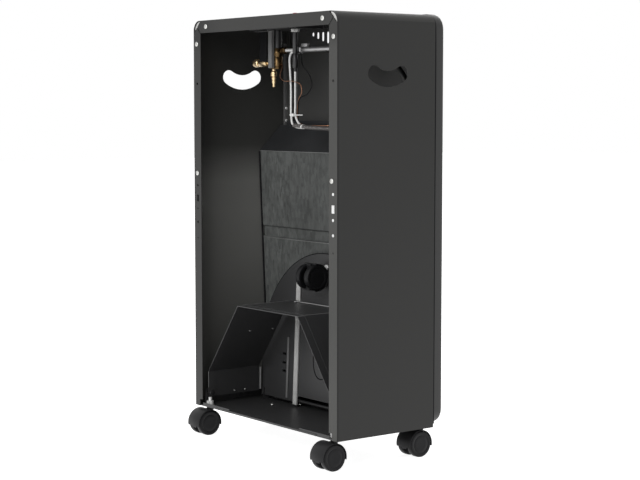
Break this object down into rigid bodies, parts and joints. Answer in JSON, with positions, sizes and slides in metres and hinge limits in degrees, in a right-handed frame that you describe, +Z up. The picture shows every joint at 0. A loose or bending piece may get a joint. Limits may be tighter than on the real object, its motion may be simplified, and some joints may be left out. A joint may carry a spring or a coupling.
{
  "type": "gas cabinet heater",
  "caption": "Portable gas cabinet heater on castors, rear cover off, with swing-out bottle guard, folded bottle platform, gas controls and infrared burner",
  "frame": {"origin": "centre of the footprint at floor level, under the castors", "axes": "+X across the cabinet, +Y toward the open rear, +Z up"},
  "size_m": [0.42, 0.2492, 0.7488],
  "materials": {
    "cabinet_paint": "satin black powder coat, outside of the cabinet",
    "chassis_paint": "satin black powder coat on inner pressings",
    "front_paint": "satin black powder coat",
    "hood_paint": "satin black powder coat",
    "tray_paint": "satin black powder coat",
    "zinc": "bright zinc plate",
    "galvanised_sheet": "galvanised sheet with a soft spangle",
    "reflector_sheet": "aluminised sheet",
    "burner_sheet": "aluminised sheet",
    "pipe_metal": "drawn aluminium tube",
    "ceramic": "matt cream ceramic, perforated",
    "chrome_wire": "chromed wire",
    "brass_casting": "brass",
    "copper": "drawn copper",
    "knob_plastic": "fine-textured black plastic",
    "black_plastic": "black plastic",
    "white_nut": "white plastic",
    "red_plastic": "glossy red plastic",
    "white_sleeve": "white sleeving",
    "castor_plastic": "black nylon",
    "wheel_plastic": "black nylon"
  },
  "bodies": {
    "cabinet": {"cabinet_wrap": "cabinet_paint", "corner_gusset_left": "zinc", "corner_gusset_right": "zinc", "floor_pan": "chassis_paint", "front_panel": "front_paint", "reflector": "reflector_sheet", "burner_box": "burner_sheet", "ceramic_plaque_1": "ceramic", "ceramic_plaque_2": "ceramic", "ceramic_plaque_3": "ceramic", "wire_guard": "chrome_wire", "heat_shield": "galvanised_sheet", "draught_hood": "hood_paint", "pilot_burner": "zinc", "control_tray": "tray_paint", "gas_valve": "brass_casting", "valve_bracket": "galvanised_sheet", "safety_magnet": "brass_casting", "hose_barb": "brass_casting", "burner_pipe": "pipe_metal", "igniter_body": "black_plastic", "igniter_nut": "white_nut", "ignition_lead": "white_sleeve", "sensor_lead": "white_sleeve", "thermocouple": "copper", "guard_pin_left": "zinc", "guard_pin_right": "zinc", "bottle_platform": "chassis_paint", "platform_rail_left": "zinc", "platform_rail_right": "zinc", "platform_hinge_rod": "zinc", "rear_left_castor_stem": "zinc", "rear_right_castor_stem": "zinc", "front_left_castor_stem": "zinc", "front_right_castor_stem": "zinc", "platform_castor_stem": "zinc"},
    "guard": {"bottle_guard": "chassis_paint"},
    "button": {"igniter_button": "red_plastic"},
    "spindle": {"knob_spindle": "zinc"},
    "knob": {"gas_knob": "knob_plastic"},
    "rear_left_swivel": {"rear_left_castor_hood": "castor_plastic", "rear_left_castor_axle": "zinc"},
    "rear_left_wheel_a": {"rear_left_castor_wheel_a": "wheel_plastic"},
    "rear_left_wheel_b": {"rear_left_castor_wheel_b": "wheel_plastic"},
    "rear_right_swivel": {"rear_right_castor_hood": "castor_plastic", "rear_right_castor_axle": "zinc"},
    "rear_right_wheel_a": {"rear_right_castor_wheel_a": "wheel_plastic"},
    "rear_right_wheel_b": {"rear_right_castor_wheel_b": "wheel_plastic"},
    "front_left_swivel": {"front_left_castor_hood": "castor_plastic", "front_left_castor_axle": "zinc"},
    "front_left_wheel_a": {"front_left_castor_wheel_a": "wheel_plastic"},
    "front_left_wheel_b": {"front_left_castor_wheel_b": "wheel_plastic"},
    "front_right_swivel": {"front_right_castor_hood": "castor_plastic", "front_right_castor_axle": "zinc"},
    "front_right_wheel_a": {"front_right_castor_wheel_a": "wheel_plastic"},
    "front_right_wheel_b": {"front_right_castor_wheel_b": "wheel_plastic"},
    "platform_swivel": {"platform_castor_hood": "castor_plastic", "platform_castor_axle": "zinc"},
    "platform_wheel_a": {"platform_castor_wheel_a": "wheel_plastic"},
    "platform_wheel_b": {"platform_castor_wheel_b": "wheel_plastic"}
  },
  "joints": [
    {"name": "guard_swing", "type": "hinge", "parent": "cabinet", "child": "guard", "pos_m": [0, 0.0854, 0.074], "axis": [-1, 0, 0], "range_deg": [0, 90]},
    {"name": "button_push", "type": "slide", "parent": "cabinet", "child": "button", "axis": [0, 0, -1], "range_m": [0, 0.006], "stiffness_N_per_m": 500, "springref_m": -0.003},
    {"name": "spindle_push", "type": "slide", "parent": "cabinet", "child": "spindle", "axis": [0, 0, -1], "range_m": [0, 0.004], "stiffness_N_per_m": 800, "springref_m": -0.004},
    {"name": "knob_turn", "type": "hinge", "parent": "spindle", "child": "knob", "pos_m": [0.075, 0.0144, 0.735], "axis": [0, 0, 1], "range_deg": [0, 210]},
    {"name": "rear_left_turn", "type": "hinge", "parent": "cabinet", "child": "rear_left_swivel", "pos_m": [-0.184, 0.0884, 0.035], "axis": [0, 0, 1], "continuous": true},
    {"name": "rear_left_roll_a", "type": "hinge", "parent": "rear_left_swivel", "child": "rear_left_wheel_a", "pos_m": [-0.184, 0.1004, 0.022], "axis": [1, 0, 0], "continuous": true},
    {"name": "rear_left_roll_b", "type": "hinge", "parent": "rear_left_swivel", "child": "rear_left_wheel_b", "pos_m": [-0.184, 0.1004, 0.022], "axis": [1, 0, 0], "continuous": true},
    {"name": "rear_right_turn", "type": "hinge", "parent": "cabinet", "child": "rear_right_swivel", "pos_m": [0.184, 0.0884, 0.035], "axis": [0, 0, 1], "continuous": true},
    {"name": "rear_right_roll_a", "type": "hinge", "parent": "rear_right_swivel", "child": "rear_right_wheel_a", "pos_m": [0.184, 0.1004, 0.022], "axis": [1, 0, 0], "continuous": true},
    {"name": "rear_right_roll_b", "type": "hinge", "parent": "rear_right_swivel", "child": "rear_right_wheel_b", "pos_m": [0.184, 0.1004, 0.022], "axis": [1, 0, 0], "continuous": true},
    {"name": "front_left_turn", "type": "hinge", "parent": "cabinet", "child": "front_left_swivel", "pos_m": [-0.184, -0.0941, 0.035], "axis": [0, 0, 1], "continuous": true},
    {"name": "front_left_roll_a", "type": "hinge", "parent": "front_left_swivel", "child": "front_left_wheel_a", "pos_m": [-0.184, -0.0821, 0.022], "axis": [1, 0, 0], "continuous": true},
    {"name": "front_left_roll_b", "type": "hinge", "parent": "front_left_swivel", "child": "front_left_wheel_b", "pos_m": [-0.184, -0.0821, 0.022], "axis": [1, 0, 0], "continuous": true},
    {"name": "front_right_turn", "type": "hinge", "parent": "cabinet", "child": "front_right_swivel", "pos_m": [0.184, -0.0941, 0.035], "axis": [0, 0, 1], "continuous": true},
    {"name": "front_right_roll_a", "type": "hinge", "parent": "front_right_swivel", "child": "front_right_wheel_a", "pos_m": [0.184, -0.0821, 0.022], "axis": [1, 0, 0], "continuous": true},
    {"name": "front_right_roll_b", "type": "hinge", "parent": "front_right_swivel", "child": "front_right_wheel_b", "pos_m": [0.184, -0.0821, 0.022], "axis": [1, 0, 0], "continuous": true},
    {"name": "platform_turn", "type": "hinge", "parent": "cabinet", "child": "platform_swivel", "pos_m": [0, -0.01691, 0.30462], "axis": [0, 0.9991, 0.0418], "continuous": true},
    {"name": "platform_roll_a", "type": "hinge", "parent": "platform_swivel", "child": "platform_wheel_a", "pos_m": [0, -0.00262, 0.2932], "axis": [1, 0, 0], "continuous": true},
    {"name": "platform_roll_b", "type": "hinge", "parent": "platform_swivel", "child": "platform_wheel_b", "pos_m": [0, -0.00262, 0.2932], "axis": [1, 0, 0], "continuous": true}
  ]
}
